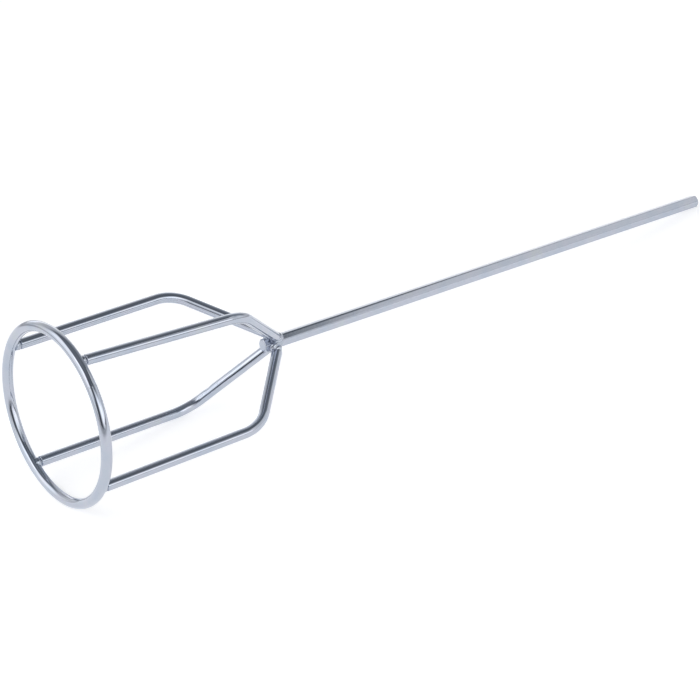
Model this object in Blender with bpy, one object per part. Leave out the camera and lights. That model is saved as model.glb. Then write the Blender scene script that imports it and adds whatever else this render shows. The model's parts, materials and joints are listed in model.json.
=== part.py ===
"""Mortar mixing paddle: a zinc-plated wire cage welded to a hexagonal drill shank.

The paddle is modelled along its own axis, from the middle of the hoop towards the
shank's tip, under one empty. The empty lays it on the ground plane: the hoop's lowest
edge and the shank's tip both touch z = 0, so the axis dips towards the tip, and the
paddle is rolled over until the bend of its lowest rod almost touches the ground too.
"""
import math

import bmesh
import bpy
from mathutils import Matrix, Vector

# Driving dimensions, metres and degrees. "Station" is the distance along the paddle's
# axis from the hoop's centre plane. Angles turn about the axis, from the side (+Y)
# towards the top.
HOOP_RADIUS = 0.0565
WIRE_RADIUS = 0.0035
HOOP_FACETS = 64
WIRE_SIDES = 16
SEAM_ANGLE = 140.625
SEAM_WIDTH = 0.0014

SHANK_FLATS = 0.008
SHANK_START = 0.1545
SHANK_END = 0.5360
SHANK_CHAMFER = 0.0015
SHANK_GRIP = 0.030
SHANK_GRIP_SWELL = 0.000005
SHANK_FLAT_ANGLE = 14.0

ROD_HOOP_RADIUS = 0.0554
ROD_HOOP_STATION = 0.0052
ROD_BEND_RADIUS_OUT = 0.0543
ROD_BEND_STATION = 0.1177
ROD_HUB_RADIUS = 0.0070
ROD_HUB_STATION = 0.1622
ROD_BEND = 0.028
BEND_STEPS = 8
FIRST_ROD_ANGLE = 33.5

# The rods are bent and welded by hand, so each differs a little from the nominal rod:
# its angle on the hoop, then its bend and hub end moved sideways, along and outwards.
ROD_DEVIATIONS = (
    {"hoop_angle": -2.7, "bend": (0.0005, -0.0012, 0.0007), "hub": (0.0005, 0.0006, 0.0)},
    {"hoop_angle": -1.3, "bend": (0.0024, 0.0003, -0.0004), "hub": (0.0001, -0.0001, 0.0)},
    {"hoop_angle": 0.9, "bend": (-0.0015, 0.0022, -0.0004), "hub": (0.0001, -0.0002, 0.0)},
    {"hoop_angle": 0.0, "bend": (0.0007, -0.0015, 0.0001), "hub": (0.0007, -0.0003, 0.0)},
)

GAP = 0.0003
COLLAR_RADII = (0.0034, 0.0037, 0.0037, 0.0035)
COLLAR_STATIONS = (0.0020, 0.0030, 0.0042, ROD_HOOP_STATION - GAP)
BEAD_HALF_SIZE = (0.0036, 0.0032, 0.0030)
BEAD_OFFSET = 0.0024
BEAD_SEGMENTS = 16
BEAD_RINGS = 10

HEX_CORNER = SHANK_FLATS / 2 / math.cos(math.radians(30))
HOOP_CORNER = HOOP_RADIUS / math.cos(math.pi / HOOP_FACETS)


def clear_scene():
    for item in list(bpy.data.objects):
        bpy.data.objects.remove(item, do_unlink=True)


def make_material(name, colour, roughness, metallic):
    material = bpy.data.materials.new(name)
    material.use_nodes = True
    shader = material.node_tree.nodes["Principled BSDF"]
    shader.inputs["Base Color"].default_value = (*colour, 1.0)
    shader.inputs["Roughness"].default_value = roughness
    shader.inputs["Metallic"].default_value = metallic
    material.diffuse_color = (*colour, 1.0)
    return material


def on_axis(angle, radius, station, sideways=0.0):
    """Point at a station along the axis, out along an angle and moved sideways from it."""
    turn = math.radians(angle)
    out = Vector((0.0, math.cos(turn), math.sin(turn)))
    side = Vector((0.0, -math.sin(turn), math.cos(turn)))
    return Vector((station, 0.0, 0.0)) + out * radius + side * sideways


def sweep(path, radii, sides, first_side=None, turn=0.0):
    """Closed solid of round or regular section along a path, with flat ends."""
    mesh = bmesh.new()
    tangents = []
    for i, point in enumerate(path):
        before = path[max(i - 1, 0)]
        after = path[min(i + 1, len(path) - 1)]
        tangents.append((after - before).normalized())
    side = first_side if first_side is not None else tangents[0].orthogonal()
    rings = []
    for point, tangent, radius in zip(path, tangents, radii):
        side = (side - tangent * side.dot(tangent)).normalized()
        other = tangent.cross(side)
        ring = []
        for k in range(sides):
            angle = math.radians(turn) + 2 * math.pi * k / sides
            offset = side * math.cos(angle) + other * math.sin(angle)
            ring.append(mesh.verts.new(point + offset * radius))
        rings.append(ring)
    for low, high in zip(rings, rings[1:]):
        for k in range(sides):
            n = (k + 1) % sides
            mesh.faces.new((low[k], low[n], high[n], high[k]))
    mesh.faces.new(list(reversed(rings[0])))
    mesh.faces.new(rings[-1])
    bmesh.ops.recalc_face_normals(mesh, faces=mesh.faces)
    return mesh


def add_object(name, mesh, material, parent, smooth=True):
    data = bpy.data.meshes.new(name)
    mesh.to_mesh(data)
    mesh.free()
    data.materials.append(material)
    if smooth:
        data.shade_smooth()
        data.set_sharp_from_angle(angle=math.radians(35))
    item = bpy.data.objects.new(name, data)
    bpy.context.scene.collection.objects.link(item)
    item.parent = parent
    return item


def add_cutter(name, mesh, material, parent):
    cutter = add_object(name, mesh, material, parent, smooth=False)
    cutter.hide_render = True
    cutter.display_type = "WIRE"
    return cutter


def cut(item, cutter):
    modifier = item.modifiers.new("cut_" + cutter.name, "BOOLEAN")
    modifier.operation = "DIFFERENCE"
    modifier.solver = "EXACT"
    modifier.object = cutter


def hoop_arc(first, last, inner_angles):
    """The hoop's centreline from one angle to another, its facets touching the true circle."""
    corners = [angle for angle in inner_angles if first + 0.5 < angle < last - 0.5]
    path = [on_axis(first, HOOP_RADIUS, 0.0)]
    path += [on_axis(angle, HOOP_CORNER, 0.0) for angle in corners]
    path.append(on_axis(last, HOOP_RADIUS, 0.0))
    return path


def facet_angles():
    """Corner angles of the faceted hoop over two turns: a facet, not a corner, is lowest."""
    step = 360.0 / HOOP_FACETS
    return [(k + 0.5) * step for k in range(-HOOP_FACETS, 2 * HOOP_FACETS)]


def bent_path(start, corner, end):
    """Straight, arc, straight: a wire's centreline bent round one corner."""
    into = (corner - start).normalized()
    away = (end - corner).normalized()
    turn = into.angle(away)
    reach = ROD_BEND * math.tan(turn / 2)
    centre_side = (away - into * into.dot(away)).normalized()
    first = corner - into * reach
    centre = first + centre_side * ROD_BEND
    path = [start]
    for k in range(BEND_STEPS + 1):
        angle = turn * k / BEND_STEPS
        path.append(centre + (into * math.sin(angle) - centre_side * math.cos(angle)) * ROD_BEND)
    path.append(end)
    return path


def rod_path(index):
    deviation = ROD_DEVIATIONS[index]
    angle = FIRST_ROD_ANGLE + 90.0 * index
    sideways, along, outwards = deviation["bend"]
    corner = on_axis(angle, ROD_BEND_RADIUS_OUT + outwards, ROD_BEND_STATION + along, sideways)
    sideways, along, outwards = deviation["hub"]
    end = on_axis(angle, ROD_HUB_RADIUS + outwards, ROD_HUB_STATION + along, sideways)
    start = on_axis(angle + deviation["hoop_angle"], ROD_HOOP_RADIUS, ROD_HOOP_STATION)
    return bent_path(start, corner, end)


def shank_depth():
    """How far the shank's lowest edge lies under the axis."""
    corners = [math.radians(SHANK_FLAT_ANGLE + 30.0 + 60.0 * k) for k in range(6)]
    return HEX_CORNER * max(-math.sin(corner) for corner in corners)


def laying_pose():
    """Tilt and lift that set the hoop's rim and the shank's tip on the ground."""
    tip = SHANK_END - SHANK_CHAMFER
    drop = HOOP_RADIUS - shank_depth()
    span = math.hypot(drop, tip)
    dip = math.atan2(drop, tip) + math.asin(WIRE_RADIUS / span)
    height = HOOP_RADIUS * math.cos(dip) + WIRE_RADIUS
    rear = -(HOOP_RADIUS * math.sin(dip) + WIRE_RADIUS)
    front = SHANK_END * math.cos(dip)
    return dip, Vector((-(rear + front) / 2, 0.0, height))


def build_shank(steel, paddle):
    """Hexagonal bar, chamfered at both ends, with an edge loop where the chuck's grip begins.

    The bar swells by a few microns at that loop, well inside the tolerance of drawn bar,
    so that the flats of the grip are faces of their own.
    """
    stations = (
        SHANK_START,
        SHANK_START + SHANK_CHAMFER,
        SHANK_END - SHANK_GRIP,
        SHANK_END - SHANK_CHAMFER,
        SHANK_END,
    )
    path = [Vector((station, 0.0, 0.0)) for station in stations]
    end_corner = HEX_CORNER - SHANK_CHAMFER
    radii = (end_corner, HEX_CORNER, HEX_CORNER + SHANK_GRIP_SWELL, HEX_CORNER, end_corner)
    mesh = sweep(path, radii, 6, Vector((0, 1, 0)), SHANK_FLAT_ANGLE + 30.0)
    return add_object("shank", mesh, steel, paddle, smooth=False)


def build_hoop(steel, weld, paddle):
    half_gap = math.degrees((SEAM_WIDTH / 2 + GAP) / HOOP_RADIUS)
    path = hoop_arc(SEAM_ANGLE + half_gap, SEAM_ANGLE + 360.0 - half_gap, facet_angles())
    mesh = sweep(path, [WIRE_RADIUS] * len(path), WIRE_SIDES, Vector((1, 0, 0)))
    add_object("ring", mesh, steel, paddle)

    half_seam = math.degrees(SEAM_WIDTH / 2 / HOOP_RADIUS)
    angles = [SEAM_ANGLE - half_seam, SEAM_ANGLE, SEAM_ANGLE + half_seam]
    path = [on_axis(angle, HOOP_RADIUS, 0.0) for angle in angles]
    radii = (WIRE_RADIUS, WIRE_RADIUS * 1.06, WIRE_RADIUS)
    mesh = sweep(path, radii, WIRE_SIDES, Vector((1, 0, 0)))
    add_object("ring_seam_weld", mesh, weld, paddle)


def build_rod(index, steel, paddle):
    path = rod_path(index)
    mesh = sweep(path, [WIRE_RADIUS] * len(path), WIRE_SIDES)
    add_object(f"cage_rod_{index + 1}", mesh, steel, paddle)
    return path


def build_ring_weld(index, path, weld, paddle):
    """Collar of upset metal between a rod's end and the hoop, saddled over the wire."""
    into = (path[1] - path[0]).normalized()
    stations = [path[0] - into * (ROD_HOOP_STATION - station) for station in COLLAR_STATIONS]
    mesh = sweep(stations, COLLAR_RADII, WIRE_SIDES)
    collar = add_object(f"ring_weld_{index + 1}", mesh, weld, paddle)

    angle = FIRST_ROD_ANGLE + 90.0 * index + ROD_DEVIATIONS[index]["hoop_angle"]
    arc = hoop_arc(angle - 14.0, angle + 14.0, facet_angles())
    cutter_mesh = sweep(arc, [WIRE_RADIUS + GAP] * len(arc), WIRE_SIDES, Vector((1, 0, 0)))
    cut(collar, add_cutter(f"ring_clearance_{index + 1}", cutter_mesh, weld, paddle))


def build_hub_weld(index, path, shank_cutter, weld, paddle):
    """Fillet bead that fills the wedge between a rod's square end and the shank."""
    along = (path[-1] - path[-2]).normalized()
    centre = path[-1] + along * BEAD_OFFSET
    axis = Vector((1.0, 0.0, 0.0))
    out = (centre - axis * centre.dot(axis)).normalized()
    turn = Matrix((axis, axis.cross(out), out)).transposed().to_4x4()
    mesh = bmesh.new()
    bmesh.ops.create_uvsphere(mesh, u_segments=BEAD_SEGMENTS, v_segments=BEAD_RINGS, radius=1.0)
    bmesh.ops.scale(mesh, vec=BEAD_HALF_SIZE, verts=mesh.verts)
    bmesh.ops.transform(mesh, matrix=Matrix.Translation(centre) @ turn, verts=mesh.verts)
    bead = add_object(f"hub_weld_{index + 1}", mesh, weld, paddle)

    end = [path[-2], path[-1] + along * GAP]
    cutter_mesh = sweep(end, [WIRE_RADIUS + GAP] * 2, WIRE_SIDES)
    cut(bead, add_cutter(f"rod_clearance_{index + 1}", cutter_mesh, weld, paddle))
    cut(bead, shank_cutter)


def build_shank_cutter(weld, paddle):
    path = [Vector((SHANK_START, 0.0, 0.0)), Vector((SHANK_START + 0.05, 0.0, 0.0))]
    radius = HEX_CORNER + GAP / math.cos(math.radians(30))
    mesh = sweep(path, [radius] * 2, 6, Vector((0, 1, 0)), SHANK_FLAT_ANGLE + 30.0)
    return add_cutter("shank_clearance", mesh, weld, paddle)


def build_paddle():
    clear_scene()
    steel = make_material("zinc_plated_steel", (0.56, 0.60, 0.68), 0.18, 1.0)
    weld = make_material("plated_weld_metal", (0.50, 0.54, 0.61), 0.32, 1.0)

    dip, place = laying_pose()
    paddle = bpy.data.objects.new("paddle_axis", None)
    bpy.context.scene.collection.objects.link(paddle)
    paddle.location = place
    paddle.rotation_euler = (0.0, dip, 0.0)

    build_shank(steel, paddle)
    build_hoop(steel, weld, paddle)
    shank_cutter = build_shank_cutter(weld, paddle)
    for index in range(len(ROD_DEVIATIONS)):
        path = build_rod(index, steel, paddle)
        build_ring_weld(index, path, weld, paddle)
        build_hub_weld(index, path, shank_cutter, weld, paddle)
    bpy.context.view_layer.update()


build_paddle()
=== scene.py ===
"""Mortar mixing paddle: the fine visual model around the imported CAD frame.

Every piece is modelled in the paddle's own frame (x along its axis from the middle of the
hoop to the shank's tip, y level, z up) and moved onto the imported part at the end.
"""
import json
import math

import bmesh
import bpy
from mathutils import Matrix, Vector, noise


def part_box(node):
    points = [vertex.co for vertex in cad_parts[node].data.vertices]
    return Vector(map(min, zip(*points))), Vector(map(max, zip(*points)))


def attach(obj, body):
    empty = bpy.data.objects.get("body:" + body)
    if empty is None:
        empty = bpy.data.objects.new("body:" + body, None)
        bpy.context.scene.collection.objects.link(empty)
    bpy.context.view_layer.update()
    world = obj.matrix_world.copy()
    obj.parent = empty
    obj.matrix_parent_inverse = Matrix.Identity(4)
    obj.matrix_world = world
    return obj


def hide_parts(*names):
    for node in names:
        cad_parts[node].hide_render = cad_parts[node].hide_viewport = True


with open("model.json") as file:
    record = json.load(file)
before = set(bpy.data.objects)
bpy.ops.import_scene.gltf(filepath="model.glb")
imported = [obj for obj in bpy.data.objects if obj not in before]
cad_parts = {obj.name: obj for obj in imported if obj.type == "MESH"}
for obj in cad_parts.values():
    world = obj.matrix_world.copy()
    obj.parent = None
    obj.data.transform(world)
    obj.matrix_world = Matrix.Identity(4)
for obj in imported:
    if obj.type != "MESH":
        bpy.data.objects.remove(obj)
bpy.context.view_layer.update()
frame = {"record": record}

# Sizes of the paddle, metres and degrees, as in the CAD model.
HOOP_RADIUS = 0.0565
WIRE_RADIUS = 0.0035
SEAM_ANGLE = 140.625
SHANK_FLATS = 0.008
SHANK_LENGTH = 0.3815
ROD_HOOP_RADIUS = 0.0554
ROD_BEND_RADIUS_OUT = 0.0543
ROD_BEND_STATION = 0.1177
ROD_HUB_RADIUS = 0.0070
ROD_HUB_STATION = 0.1622
ROD_BEND = 0.028
FIRST_ROD_ANGLE = 33.5

# How each rod departs from the nominal one, as in the CAD model: its angle on the hoop,
# then its bend moved sideways, along and outwards, and its hub end sideways and along.
ROD_DEVIATIONS = (
    {"hoop_angle": -2.7, "bend": (0.0005, -0.0012, 0.0007), "hub": (0.0005, 0.0006)},
    {"hoop_angle": -1.3, "bend": (0.0024, 0.0003, -0.0004), "hub": (0.0001, -0.0001)},
    {"hoop_angle": 0.9, "bend": (-0.0015, 0.0022, -0.0004), "hub": (0.0001, -0.0002)},
    {"hoop_angle": 0.0, "bend": (0.0007, -0.0015, 0.0001), "hub": (0.0007, -0.0003)},
)

# Tool mark on one rod (counted from 0), in the paddle's frame.
DENTED_ROD = 3
DENT_CENTRE = (0.1277, 0.0246, -0.0310)
DENT_OUTWARD = (-0.440, 0.425, 0.791)
DENT_REACH = 0.0021
DENT_DEPTH = 0.00045

# Where each rod starts behind the hoop, and where the collars' outline expects it to.
ROD_START_STATIONS = (0.0052, 0.0052, 0.0048, 0.0041)
COLLAR_END_STATION = 0.0052

# How finely the wire is modelled.
WIRE_SIDES = 32
HOOP_SIDES = 36
COLLAR_SIDES = 28
HOOP_STEPS = 360
STRAIGHT_STEP = 0.0015
BEND_STEPS = 36
BEAD_SUBDIVISIONS = 4

# Small departures of drawn and bent wire from its true size. The pieces are made a
# little thinner than the true size, so that none of them stands past the CAD model.
ROD_UNDERSIZE = 0.004
ROD_SWELL = 0.003
ROD_SWELL_LENGTH = 0.011
ROD_END_DEPTH = 0.0009
ROD_START_LOSS = 0.0004
ROD_END_LOSS = 0.0008
ROD_END_STEPS = 5
BEND_FLATTENING = 0.022
HOOP_UNDERSIZE = 0.00003
HOOP_SWELL = 0.003
HOOP_SWELL_LENGTH = 0.013

# The shank's rounded edges and ends.
EDGE_ROUNDING = 0.00035
CORNER_STEPS = 5
FLAT_POINTS = (-0.0011, 0.0, 0.0011)
TIP_CHAMFER = 0.0016
TIP_LOSS = 0.0019
TIP_STEPS = 8
CORNER_SLACK = 0.0001
SHANK_STEP = 0.003
SHANK_SCALE = 0.9977
SHANK_BOW = 0.0016
SHANK_BOW_LENGTH = 0.019
SHANK_BOW_ACROSS = 4

# The hoop's seam weld, ground nearly flush.
SEAM_WIDTH = 0.0030
SEAM_STEPS = 12
SEAM_DEPTH = 0.00008
SEAM_RISE = 0.00006
SEAM_RIPPLE = 0.15

# Lumpiness of the weld metal.
COLLAR_RIPPLE = 0.055
BEAD_LUMPINESS = 0.10
BEAD_RIPPLE = 0.035

# Seeds of the smooth noise, one for each kind of piece.
ROD_SEED = 3.1
HOOP_SEED = 7.3
SHANK_SEED = 1.7
SEAM_SEED = 5.1
COLLAR_SEED = 11.0
BEAD_SEED = 23.0

# Camera: 1.8 m away, beyond the hoop and to one side, looking down at the paddle.
CAMERA_PLACE = (-0.91976, -1.27338, 0.881154)
CAMERA_FORWARD = (0.495334, 0.7176, -0.489586)
CAMERA_ROLL = -6.141
CAMERA_LENS = 138.86
SENSOR = 36.0


# ---------------------------------------------------------------- the paddle's own frame

def paddle_matrix():
    """Frame of the paddle's axis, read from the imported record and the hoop's box."""
    mounts = {mount["name"]: mount for mount in frame["record"]["mounts"]}
    tip = Vector(mounts["shank_end"]["pos_m"])
    axis = Vector(mounts["shank_end"]["axis"]).normalized()
    low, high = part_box("ring")
    middle = (Vector(low) + Vector(high)) / 2
    centre = tip + axis * (middle - tip).dot(axis)
    level = Vector((0.0, 1.0, 0.0))
    up = axis.cross(level)
    turn = Matrix((axis, level, up)).transposed().to_4x4()
    flat = Vector(mounts["jaw_flat_1"]["axis"])
    flat_angle = math.degrees(math.atan2(flat.dot(up), flat.dot(level)))
    return Matrix.Translation(centre) @ turn, (tip - centre).length, flat_angle


PADDLE, SHANK_END, FLAT_ANGLE = paddle_matrix()


def on_axis(angle, radius, station, sideways=0.0):
    """Point at a station, out along an angle and moved sideways from it."""
    turn = math.radians(angle)
    out = Vector((0.0, math.cos(turn), math.sin(turn)))
    side = Vector((0.0, -math.sin(turn), math.cos(turn)))
    return Vector((station, 0.0, 0.0)) + out * radius + side * sideways


# ---------------------------------------------------------------- mesh building

def smooth_step(low, high, value):
    """0 below low, 1 above high, and a smooth rise between them."""
    t = min(max((value - low) / (high - low), 0.0), 1.0)
    return t * t * (3.0 - 2.0 * t)


def wobble(point, scale, seed):
    """Smooth value from -1 to 1 that varies over about `scale` metres."""
    return noise.noise(point / scale + Vector((seed, 0.37 * seed, -0.71 * seed)))


def path_frames(path, closed, first_side):
    """Two sideways directions at each point of a path, without twist."""
    count = len(path)
    tangents = []
    for i in range(count):
        before = path[i - 1] if closed or i > 0 else path[0]
        after = path[(i + 1) % count] if closed or i < count - 1 else path[-1]
        tangents.append((after - before).normalized())
    side = first_side
    frames = []
    for tangent in tangents:
        side = (side - tangent * side.dot(tangent)).normalized()
        frames.append((side, tangent.cross(side)))
    return frames


def tube_mesh(path, section, first_side, closed=False):
    """Skin along a path. section(i, travelled) gives ring i's (side, other) offsets.

    The point attribute "wire" holds each point's place on the straightened wire, so
    drawn-wire marks follow the bends.
    """
    mesh = bmesh.new()
    place = mesh.verts.layers.float_vector.new("wire")
    frames = path_frames(path, closed, first_side)
    travelled = 0.0
    rings = []
    for i, (point, (side, other)) in enumerate(zip(path, frames)):
        if i:
            travelled += (point - path[i - 1]).length
        ring = []
        for a, b in section(i, travelled):
            vert = mesh.verts.new(point + side * a + other * b)
            vert[place] = Vector((travelled, a, b))
            ring.append(vert)
        rings.append(ring)
    pairs = list(zip(rings, rings[1:]))
    if closed:
        pairs.append((rings[-1], rings[0]))
    sides = len(rings[0])
    for low, high in pairs:
        for k in range(sides):
            n = (k + 1) % sides
            mesh.faces.new((low[k], low[n], high[n], high[k]))
    if not closed:
        mesh.faces.new(list(reversed(rings[0])))
        mesh.faces.new(rings[-1])
    bmesh.ops.recalc_face_normals(mesh, faces=mesh.faces)
    return mesh


def add_piece(name, mesh, material, replaces, sharp=38.0):
    """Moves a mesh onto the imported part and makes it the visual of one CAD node."""
    mesh.transform(PADDLE)
    data = bpy.data.meshes.new(name)
    mesh.to_mesh(data)
    mesh.free()
    data.materials.append(material)
    data.shade_smooth()
    data.set_sharp_from_angle(angle=math.radians(sharp))
    piece = bpy.data.objects.new(name, data)
    bpy.context.scene.collection.objects.link(piece)
    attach(piece, "root")
    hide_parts(replaces)


def round_section(radius, sides=WIRE_SIDES, flat=0.0):
    """Ring of a wire; flat squeezes it a little across its bend."""
    offsets = []
    for k in range(sides):
        angle = 2 * math.pi * k / sides
        across = math.cos(angle) * radius * (1 - flat)
        offsets.append((across, math.sin(angle) * radius * (1 + flat / 2)))
    return offsets


# ---------------------------------------------------------------- the steel members

def bent_path(start, corner, end):
    """Centreline of a wire bent once, the way its bend faces, and the bend's extent."""
    into = (corner - start).normalized()
    away = (end - corner).normalized()
    turn = into.angle(away)
    reach = ROD_BEND * math.tan(turn / 2)
    inside = (away - into * into.dot(away)).normalized()
    first = corner - into * reach
    last = corner + away * reach
    centre = first + inside * ROD_BEND
    count = round((first - start).length / STRAIGHT_STEP)
    path = [start.lerp(first, k / count) for k in range(count)]
    bend_from = len(path)
    for k in range(BEND_STEPS):
        angle = turn * k / BEND_STEPS
        path.append(centre + (into * math.sin(angle) - inside * math.cos(angle)) * ROD_BEND)
    bend_to = len(path)
    count = round((end - last).length / STRAIGHT_STEP)
    path += [last.lerp(end, k / count) for k in range(count + 1)]
    return path, inside, bend_from, bend_to


def rod_path(index):
    """Centreline of one rod, with its own small errors of placing."""
    deviation = ROD_DEVIATIONS[index]
    angle = FIRST_ROD_ANGLE + 90.0 * index
    sideways, along, outwards = deviation["bend"]
    corner = on_axis(angle, ROD_BEND_RADIUS_OUT + outwards, ROD_BEND_STATION + along, sideways)
    sideways, along = deviation["hub"]
    end = on_axis(angle, ROD_HUB_RADIUS, ROD_HUB_STATION + along, sideways)
    start = on_axis(angle + deviation["hoop_angle"], ROD_HOOP_RADIUS, ROD_START_STATIONS[index])
    return bent_path(start, corner, end)


def end_rounding(distance, depth, loss):
    """Radius lost near a cut end: rounded off over `depth` metres."""
    if distance >= depth:
        return 0.0
    t = 1.0 - distance / depth
    return loss * (1.0 - math.sqrt(max(1.0 - t * t, 0.0)))


def densify_end(path, depth, steps):
    """Adds points close to both ends, and tells how many came before the bend."""
    head_length = (path[1] - path[0]).length
    head = [path[0].lerp(path[1], depth * k / steps / head_length) for k in range(steps)]
    tail_length = (path[-1] - path[-2]).length
    tail = [path[-1].lerp(path[-2], depth * k / steps / tail_length) for k in range(steps)]
    return head + path[1:-1] + list(reversed(tail)), steps - 1


def press_dent(mesh):
    """Shallow mark of the bending tool near the bend."""
    centre = Vector(DENT_CENTRE)
    push = Vector(DENT_OUTWARD)
    for vert in mesh.verts:
        near = (vert.co - centre).length / DENT_REACH
        vert.co -= push * DENT_DEPTH * math.exp(-near * near)


def build_rod(index, steel):
    """Bent wire: rounded at its cut ends and a little flattened at its bend."""
    path, inside, bend_from, bend_to = rod_path(index)
    path, added = densify_end(path, ROD_END_DEPTH, ROD_END_STEPS)
    bend_from += added
    bend_to += added
    total = sum((b - a).length for a, b in zip(path, path[1:]))
    middle = (bend_from + bend_to) / 2
    half = (bend_to - bend_from) / 2

    def section(i, travelled):
        lost = end_rounding(travelled, ROD_END_DEPTH, ROD_START_LOSS)
        lost += end_rounding(total - travelled, ROD_END_DEPTH, ROD_END_LOSS)
        bent = 1.0 - smooth_step(0.75, 1.25, abs(i - middle) / half)
        uneven = wobble(Vector((travelled, index, 0.0)), ROD_SWELL_LENGTH, ROD_SEED)
        radius = (WIRE_RADIUS - lost) * (1.0 + ROD_SWELL * uneven) * (1 - ROD_UNDERSIZE)
        return round_section(radius, flat=BEND_FLATTENING * bent)

    mesh = tube_mesh(path, section, inside)
    if index == DENTED_ROD:
        press_dent(mesh)
    name = f"cage_rod_{index + 1}"
    add_piece(f"fine_{name}", mesh, steel, name)


def build_hoop(steel):
    """Wire ring, starting and ending at its seam."""
    step = 360.0 / HOOP_STEPS
    path = [on_axis(SEAM_ANGLE + k * step, HOOP_RADIUS, 0.0) for k in range(HOOP_STEPS)]

    def section(i, travelled):
        swell = 1.0 + HOOP_SWELL * wobble(path[i], HOOP_SWELL_LENGTH, HOOP_SEED)
        return round_section((WIRE_RADIUS - HOOP_UNDERSIZE) * swell, HOOP_SIDES)

    mesh = tube_mesh(path, section, Vector((1, 0, 0)), closed=True)
    add_piece("fine_ring", mesh, steel, "ring")


def shank_outline():
    """Hexagon with rounded corners, as offsets from the axis."""
    half = SHANK_FLATS / 2
    corner = half / math.cos(math.radians(30))
    centre = corner - EDGE_ROUNDING / math.cos(math.radians(30))
    points = []
    for k in range(6):
        middle = FLAT_ANGLE + 30.0 + 60.0 * k
        turn = math.radians(middle)
        for j in range(CORNER_STEPS):
            lean = math.radians(middle - 30.0 + 60.0 * j / (CORNER_STEPS - 1))
            points.append(
                (
                    centre * math.cos(turn) + EDGE_ROUNDING * math.cos(lean),
                    centre * math.sin(turn) + EDGE_ROUNDING * math.sin(lean),
                )
            )
        next_flat = math.radians(FLAT_ANGLE + 60.0 * (k + 1))
        along = Vector((-math.sin(next_flat), math.cos(next_flat)))
        foot = Vector((math.cos(next_flat), math.sin(next_flat))) * half
        for t in FLAT_POINTS:
            point = foot + along * t
            points.append((point.x, point.y))
    return points


def shank_stations(start, end):
    """Close together in the chamfers, then every few millimetres."""
    chamfer = [TIP_CHAMFER * k / TIP_STEPS for k in range(TIP_STEPS + 1)]
    stations = [start + d for d in chamfer]
    inner = end - start - 2 * TIP_CHAMFER
    count = round(inner / SHANK_STEP)
    stations += [start + TIP_CHAMFER + inner * k / count for k in range(1, count)]
    stations += [end - d for d in reversed(chamfer)]
    return stations


def build_shank(steel):
    """Hexagonal bar with soft edges, rounded off at both ends."""
    start = SHANK_END - SHANK_LENGTH
    stations = shank_stations(start, SHANK_END)
    path = [Vector((station, 0.0, 0.0)) for station in stations]
    outline = shank_outline()
    corner = SHANK_FLATS / 2 / math.cos(math.radians(30))

    def section(i, travelled):
        from_end = min(stations[i] - start, SHANK_END - stations[i])
        limit = corner + CORNER_SLACK - end_rounding(from_end, TIP_CHAMFER, TIP_LOSS)
        ring = []
        for a, b in outline:
            reach = math.hypot(a, b)
            spot = Vector((stations[i], a * SHANK_BOW_ACROSS, b * SHANK_BOW_ACROSS))
            bow = 1.0 + SHANK_BOW * wobble(spot, SHANK_BOW_LENGTH, SHANK_SEED)
            keep = min(reach * bow, limit) / reach
            ring.append((a * keep * SHANK_SCALE, b * keep * SHANK_SCALE))
        return ring

    mesh = tube_mesh(path, section, Vector((0, 1, 0)))
    add_piece("fine_shank", mesh, steel, "shank", sharp=32.0)


# ---------------------------------------------------------------- weld metal

def build_seam_weld(weld):
    """Nearly flush band of weld metal round the hoop where its ends were joined."""
    half = math.degrees(SEAM_WIDTH / 2 / HOOP_RADIUS)
    turns = [2 * k / SEAM_STEPS - 1 for k in range(SEAM_STEPS + 1)]
    path = [on_axis(SEAM_ANGLE + half * turn, HOOP_RADIUS, 0.0) for turn in turns]

    def section(i, travelled):
        rise = SEAM_RISE * smooth_step(0.0, 0.7, 1.0 - abs(turns[i]))
        offsets = []
        for a, b in round_section(1.0, HOOP_SIDES):
            ripple = 1.0 + SEAM_RIPPLE * wobble(Vector((a, b, i * 0.2)), 0.5, SEAM_SEED)
            radius = WIRE_RADIUS - SEAM_DEPTH + rise * ripple
            offsets.append((a * radius, b * radius))
        return offsets

    mesh = tube_mesh(path, section, Vector((1, 0, 0)))
    add_piece("fine_ring_seam_weld", mesh, weld, "ring_seam_weld")


# Turned outline of the upset metal between a rod and the hoop: (station, radius).
COLLAR_PROFILE = (
    (0.0012, 0.0030),
    (0.0022, 0.0033),
    (0.0032, 0.0034),
    (0.0039, 0.0034),
    (0.0043, 0.0031),
    (0.0046, 0.0025),
    (0.0049, 0.0022),
    (0.0053, 0.0024),
    (0.0060, 0.0027),
)


def build_ring_weld(index, weld):
    """Upset metal between a rod's start and the hoop, with a groove next to the rod."""
    deviation = ROD_DEVIATIONS[index]
    angle = FIRST_ROD_ANGLE + 90.0 * index + deviation["hoop_angle"]
    back = ROD_START_STATIONS[index] - COLLAR_END_STATION
    path = [on_axis(angle, ROD_HOOP_RADIUS, station + back) for station, _ in COLLAR_PROFILE]

    def section(i, travelled):
        offsets = []
        for a, b in round_section(1.0, COLLAR_SIDES):
            uneven = wobble(Vector((a, b, i * 0.25)), 0.7, COLLAR_SEED + index)
            radius = COLLAR_PROFILE[i][1] * (1.0 + COLLAR_RIPPLE * uneven)
            offsets.append((a * radius, b * radius))
        return offsets

    mesh = tube_mesh(path, section, Vector((0, 1, 0)))
    name = f"ring_weld_{index + 1}"
    add_piece(f"fine_{name}", mesh, weld, name, sharp=60.0)


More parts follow.
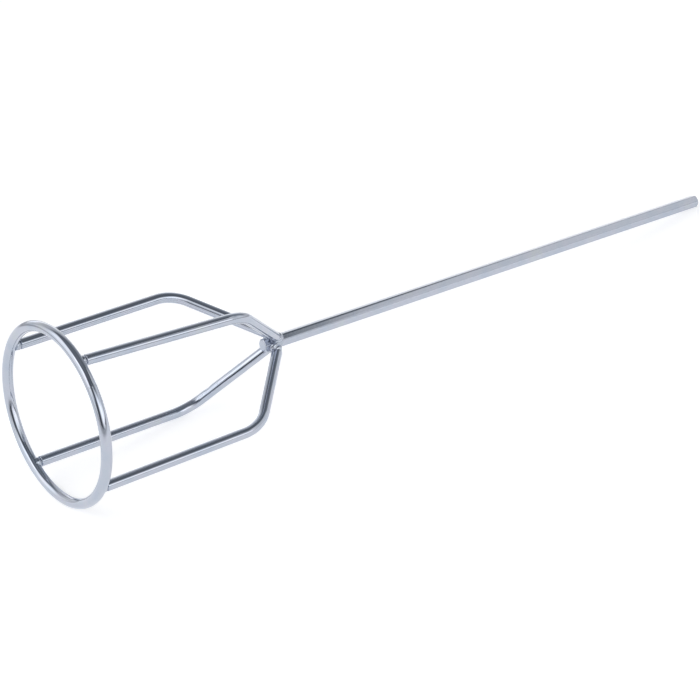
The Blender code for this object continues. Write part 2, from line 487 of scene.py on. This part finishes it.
# Lumps of each rod's fillet bead on the shank: turn from the rod's angle towards the
# next rod, distance from the axis, station, and half sizes along, round and out.
HUB_BEADS = (
    (
        (0.0, 0.0054, 0.1636, (0.0042, 0.0036, 0.0029)),
        (-24.0, 0.0050, 0.1622, (0.0034, 0.0030, 0.0021)),
    ),
    (
        (4.0, 0.0053, 0.1640, (0.0043, 0.0041, 0.0029)),
        (32.0, 0.0051, 0.1647, (0.0037, 0.0034, 0.0024)),
        (52.0, 0.0047, 0.1642, (0.0026, 0.0027, 0.0016)),
    ),
    (
        (-6.0, 0.0058, 0.1622, (0.0036, 0.0036, 0.0029)),
        (-27.0, 0.0050, 0.1603, (0.0031, 0.0028, 0.0021)),
    ),
    (
        (0.0, 0.0057, 0.1632, (0.0042, 0.0036, 0.0029)),
        (-30.0, 0.0050, 0.1625, (0.0036, 0.0034, 0.0022)),
    ),
)


def build_hub_weld(index, weld):
    """Fillet bead: rippled lumps that run from the rod's end out over the shank's flats."""
    mesh = bmesh.new()
    axis = Vector((1.0, 0.0, 0.0))
    for lump, (turned, radius, station, size) in enumerate(HUB_BEADS[index]):
        centre = on_axis(FIRST_ROD_ANGLE + 90.0 * index + turned, radius, station)
        out = (centre - axis * centre.dot(axis)).normalized()
        turn = Matrix((axis, out.cross(axis), out)).transposed().to_4x4()
        seed = BEAD_SEED + 3 * index + 1.7 * lump
        made = bmesh.ops.create_icosphere(mesh, subdivisions=BEAD_SUBDIVISIONS, radius=1.0)
        ball = made["verts"]
        for vert in ball:
            spot = vert.co.copy()
            ripple = BEAD_LUMPINESS * wobble(spot, 0.9, seed)
            ripple += BEAD_RIPPLE * math.sin(spot.x * 13.0 + spot.y * 2.0)
            vert.co = spot * (1.0 + ripple)
        bmesh.ops.scale(mesh, vec=size, verts=ball)
        bmesh.ops.transform(mesh, matrix=Matrix.Translation(centre) @ turn, verts=ball)
    name = f"hub_weld_{index + 1}"
    add_piece(f"fine_{name}", mesh, weld, name, sharp=80.0)


# ---------------------------------------------------------------- materials

class Nodes:
    """Short way to write a material's nodes."""

    def __init__(self, tree):
        self.tree = tree

    @staticmethod
    def socket(node, key):
        """A node's input by number, or the shown one of that name."""
        if isinstance(key, int):
            return node.inputs[key]
        return next(item for item in node.inputs if item.name == key and item.enabled)

    def add(self, kind, inputs=None, **settings):
        """New node; an input is given as a value, or as the socket that feeds it."""
        node = self.tree.nodes.new(kind)
        for key, value in settings.items():
            setattr(node, key, value)
        for key, value in (inputs or {}).items():
            if isinstance(value, bpy.types.NodeSocket):
                self.tree.links.new(value, self.socket(node, key))
            else:
                self.socket(node, key).default_value = value
        return node

    def math(self, operation, first, second=0.0):
        """Output of one arithmetic node."""
        node = self.add("ShaderNodeMath", {0: first, 1: second}, operation=operation)
        return node.outputs["Value"]

    def ramp(self, factor, stops):
        """Colour that runs through (place, colour) stops."""
        node = self.add("ShaderNodeValToRGB", {"Fac": factor})
        elements = node.color_ramp.elements
        while len(elements) < len(stops):
            elements.new(0.5)
        for element, (place, colour) in zip(elements, stops):
            element.position = place
            element.color = (*colour, 1.0)
        return node.outputs["Color"]


# The zinc's clouded tints run from the first colour to the last as the noise rises
# through these levels.
CLOUD_LEVELS = (0.32, 0.47, 0.58, 0.70)
CLOUD_SCALE = 70.0
DRAWING_LINE_SCALE = (35.0, 2600.0, 2600.0)
STEEL_TINTS = (
    (0.455, 0.500, 0.590),
    (0.480, 0.520, 0.595),
    (0.500, 0.525, 0.605),
    (0.510, 0.545, 0.590),
)
WELD_TINTS = (
    (0.40, 0.44, 0.52),
    (0.45, 0.49, 0.56),
    (0.48, 0.505, 0.58),
    (0.50, 0.53, 0.57),
)


def plated_metal(name, tints, roughness, bump, grain):
    """Bright zinc: clouded blue and straw tints, drawing lines along the wire, fine pitting."""
    material = bpy.data.materials.new(name)
    material.use_nodes = True
    tree = material.node_tree
    tree.nodes.clear()
    make = Nodes(tree)
    wire = make.add("ShaderNodeAttribute", attribute_name="wire").outputs["Vector"]
    place = make.add("ShaderNodeTexCoord").outputs["Object"]

    clouds = make.add(
        "ShaderNodeTexNoise",
        {"Vector": place, "Scale": CLOUD_SCALE, "Detail": 3.0, "Roughness": 0.55},
    ).outputs["Fac"]
    colour = make.ramp(clouds, list(zip(CLOUD_LEVELS, tints)))

    stretched = make.add(
        "ShaderNodeMapping", {"Vector": wire, "Scale": DRAWING_LINE_SCALE}
    ).outputs["Vector"]
    lines = make.add(
        "ShaderNodeTexNoise", {"Vector": stretched, "Scale": 1.0, "Detail": 4.0}
    ).outputs["Fac"]
    pits = make.add(
        "ShaderNodeTexNoise", {"Vector": place, "Scale": grain, "Detail": 5.0, "Roughness": 0.62}
    ).outputs["Fac"]
    relief = make.add("ShaderNodeMix", {0: 0.5, 2: lines, 3: pits}, data_type="FLOAT").outputs[0]
    rough = make.add(
        "ShaderNodeMapRange",
        {
            "Value": pits,
            "From Min": 0.3,
            "From Max": 0.7,
            "To Min": roughness[0],
            "To Max": roughness[1],
        },
    ).outputs["Result"]
    normal = make.add(
        "ShaderNodeBump", {"Strength": bump, "Distance": 0.0001, "Height": relief}
    ).outputs["Normal"]
    shader = make.add(
        "ShaderNodeBsdfPrincipled",
        {"Base Color": colour, "Roughness": rough, "Metallic": 1.0, "Normal": normal},
    )
    make.add("ShaderNodeOutputMaterial", {"Surface": shader.outputs["BSDF"]})
    material.diffuse_color = (*tints[1], 1.0)
    return material


def floor_material():
    """Pale floor with a painted pool of light: its emission is brightest round the paddle and falls
    off to pale grey.
    """
    material = bpy.data.materials.new("pale_floor")
    material.use_nodes = True
    tree = material.node_tree
    tree.nodes.clear()
    make = Nodes(tree)
    place = make.add("ShaderNodeTexCoord").outputs["Object"]
    mottle = make.add(
        "ShaderNodeTexNoise", {"Vector": place, "Scale": 3.0, "Detail": 2.0}
    ).outputs["Fac"]
    colour = make.ramp(mottle, list(zip((0.3, 0.7), FLOOR_GREYS)))
    away = make.add(
        "ShaderNodeVectorMath", {0: place, 1: PAINTED_POOL_CENTRE}, operation="DISTANCE"
    ).outputs["Value"]
    # Painted light: the floor's emission is strongest round the paddle and fades further out.
    painted_pool = make.add(
        "ShaderNodeMapRange",
        {
            "Value": away,
            "From Min": PAINTED_POOL_RADIUS,
            "From Max": PAINTED_POOL_END,
            "To Min": PAINTED_POOL_GLOW,
            "To Max": 0.0,
        },
        interpolation_type="SMOOTHSTEP",
    ).outputs["Result"]
    shader = make.add(
        "ShaderNodeBsdfPrincipled",
        {
            "Base Color": colour,
            "Roughness": 0.9,
            "Emission Color": (1.0, 1.0, 1.0, 1.0),
            "Emission Strength": painted_pool,
        },
    )
    make.add("ShaderNodeOutputMaterial", {"Surface": shader.outputs["BSDF"]})
    return material


# ---------------------------------------------------------------- studio

FLOOR_WIDTH = 12.0
FLOOR_GREYS = ((0.73, 0.73, 0.735), (0.75, 0.75, 0.755))
SCRIM_WIDTH = 6.0
SCRIM_HEIGHT = 2.6
SCRIM_POWER = 12.0

# Painted pool of light glowing from the floor: how bright, where, and how far out it stays full and
# dies away.
PAINTED_POOL_GLOW = 0.545
PAINTED_POOL_CENTRE = (0.07, 0.11, 0.0)
PAINTED_POOL_RADIUS = 0.54
PAINTED_POOL_END = 1.15


def direction(azimuth, elevation):
    """Unit vector towards a place in the studio."""
    turn, rise = math.radians(azimuth), math.radians(elevation)
    return (math.cos(rise) * math.cos(turn), math.cos(rise) * math.sin(turn), math.sin(rise))


# Brightness of the studio's walls and ceiling: elevation in degrees, level. These levels
# and 15 of the 20 panels below began as the output of a least-squares fit to the
# paddle's reflections in the photograph, and were then adjusted. They are not a
# layout that anyone drew up.
STUDIO_HEIGHTS = (
    (-2.0, 0.51),
    (4.0, 0.86),
    (8.0, 1.03),
    (14.0, 1.03),
    (21.0, 0.98),
    (28.0, 0.76),
    (35.0, 0.40),
    (42.0, 0.155),
    (56.0, 0.180),
    (75.0, 0.24),
    (90.0, 0.20),
)

# Soft boxes and dark flats standing round the paddle: azimuth, elevation, half width,
# half height and softness of the edge in degrees, and brightness. Later ones stand in
# front of earlier ones.
STUDIO_PANELS = (
    (144.0, 53.0, 22.0, 8.0, 10.0, 0.85),
    (160.2, 44.0, 34.0, 12.0, 23.0, 1.66),
    (157.0, 14.7, 28.0, 23.5, 23.8, 1.28),
    (142.0, 30.0, 13.0, 7.5, 10.0, 1.62),
    (184.5, 46.5, 12.5, 7.0, 8.0, 2.30),
    (189.0, 36.5, 10.0, 12.5, 10.0, 1.82),
    (-134.3, 16.5, 13.7, 37.6, 17.9, 0.14),
    (-145.0, 9.0, 15.0, 12.0, 7.0, 0.11),
    (-91.7, 20.6, 16.2, 18.3, 18.2, 1.72),
    (-98.0, 41.0, 6.0, 6.5, 8.0, 1.10),
    (-81.5, 15.8, 7.5, 8.0, 8.1, 2.10),
    (-60.5, 13.3, 15.0, 9.5, 14.0, 1.60),
    (15.0, 28.1, 18.1, 20.4, 20.0, 0.36),
    (-28.5, 38.0, 11.5, 5.05, 2.0, 0.91),
    (72.1, 37.5, 26.9, 10.5, 17.6, 0.70),
    (105.0, 15.4, 6.0, 9.5, 11.2, 0.74),
    (-60.0, -0.3, 15.0, 3.2, 2.6, 0.14),
    (-113.0, 0.0, 9.0, 4.0, 6.0, 0.34),
    (-38.8, 13.7, 8.0, 6.0, 6.0, 0.85),
    (66.0, 9.9, 21.0, 7.0, 2.9, 1.54),
)


def studio_colour(level):
    """Dark parts of the studio are a little blue."""
    blue = 1.0 - smooth_step(0.2, 0.8, level)
    return (level * (1.0 - 0.08 * blue), level, level * (1.0 + 0.10 * blue))


def panel_mask(make, look, azimuth, elevation, half_width, half_height, softness):
    """1 inside a panel, 0 outside it, with a soft edge."""
    centre = Vector(direction(azimuth, elevation))
    right = Vector(direction(azimuth + 90.0, 0.0))
    up = centre.cross(right)

    def along(axis):
        dot = make.add("ShaderNodeVectorMath", {0: look, 1: axis}, operation="DOT_PRODUCT")
        return dot.outputs["Value"]

    def edge(angle, half):
        away = make.math("ABSOLUTE", angle)
        soft = math.radians(softness) / 2
        return make.add(
            "ShaderNodeMapRange",
            {
                "Value": away,
                "From Min": math.radians(half) + soft,
                "From Max": math.radians(half) - soft,
            },
            interpolation_type="SMOOTHSTEP",
        ).outputs["Result"]

    across = make.math("ARCTAN2", along(right), along(centre))
    height = make.math("ARCSINE", along(up))
    return make.math("MULTIPLY", edge(across, half_width), edge(height, half_height))


def build_world():
    """Soft studio: pale walls, a dark ceiling, soft boxes and dark flats."""
    world = bpy.data.worlds.new("studio")
    world.use_nodes = True
    bpy.context.scene.world = world
    tree = world.node_tree
    tree.nodes.clear()
    make = Nodes(tree)
    look = make.add("ShaderNodeTexCoord").outputs["Generated"]
    height = make.add("ShaderNodeSeparateXYZ", {"Vector": look}).outputs["Z"]
    rise = make.math("ARCSINE", height)
    spread = make.add(
        "ShaderNodeMapRange",
        {"Value": rise, "From Min": math.radians(-90.0), "From Max": math.radians(90.0)},
    ).outputs["Result"]
    stops = [((angle + 90.0) / 180.0, studio_colour(level)) for angle, level in STUDIO_HEIGHTS]
    colour = make.ramp(spread, stops)
    for *place, level in STUDIO_PANELS:
        inside = panel_mask(make, look, *place)
        mix = make.add(
            "ShaderNodeMix",
            {"Factor": inside, "A": colour, "B": (*studio_colour(level), 1.0)},
            data_type="RGBA",
        )
        colour = next(item for item in mix.outputs if item.enabled)
    background = make.add("ShaderNodeBackground", {"Color": colour, "Strength": 1.0})
    make.add("ShaderNodeOutputWorld", {"Surface": background.outputs["Background"]})


def build_floor():
    """Level floor at z = 0, not part of the object."""
    bpy.ops.mesh.primitive_plane_add(size=FLOOR_WIDTH)
    floor = bpy.context.object
    floor.name = "floor"
    floor.data.materials.append(floor_material())


def build_key_light():
    """Large, weak overhead scrim; its shadow is too soft to see."""
    data = bpy.data.lights.new("scrim", "AREA")
    data.shape = "RECTANGLE"
    data.size = SCRIM_WIDTH
    data.size_y = SCRIM_WIDTH
    data.energy = SCRIM_POWER
    light = bpy.data.objects.new("scrim", data)
    light.location = (0.0, 0.0, SCRIM_HEIGHT)
    light.visible_glossy = False
    bpy.context.scene.collection.objects.link(light)


def build_camera():
    """Camera at its place, turned about its line of sight."""
    data = bpy.data.cameras.new("camera")
    data.sensor_width = SENSOR
    data.lens = CAMERA_LENS
    camera = bpy.data.objects.new("camera", data)
    forward = Vector(CAMERA_FORWARD).normalized()
    right = forward.cross(Vector((0, 0, 1))).normalized()
    up = right.cross(forward)
    roll = Matrix.Rotation(math.radians(CAMERA_ROLL), 3, -forward)
    right = roll @ right
    up = roll @ up
    turn = Matrix((right, up, -forward)).transposed().to_4x4()
    camera.matrix_world = Matrix.Translation(CAMERA_PLACE) @ turn
    bpy.context.scene.collection.objects.link(camera)
    bpy.context.scene.camera = camera


def build_all():
    """The paddle first, then the floor, the studio, the light and the camera."""
    steel = plated_metal("bright_zinc", STEEL_TINTS, roughness=(0.06, 0.115), bump=0.07, grain=900.0)
    weld = plated_metal("plated_weld", WELD_TINTS, roughness=(0.10, 0.22), bump=0.25, grain=1500.0)
    build_shank(steel)
    build_hoop(steel)
    build_seam_weld(weld)
    for index in range(len(ROD_DEVIATIONS)):
        build_rod(index, steel)
        build_ring_weld(index, weld)
        build_hub_weld(index, weld)
    build_floor()
    build_world()
    build_key_light()
    build_camera()
    bpy.context.scene.view_settings.view_transform = "Standard"


build_all()

bpy.context.view_layer.update()
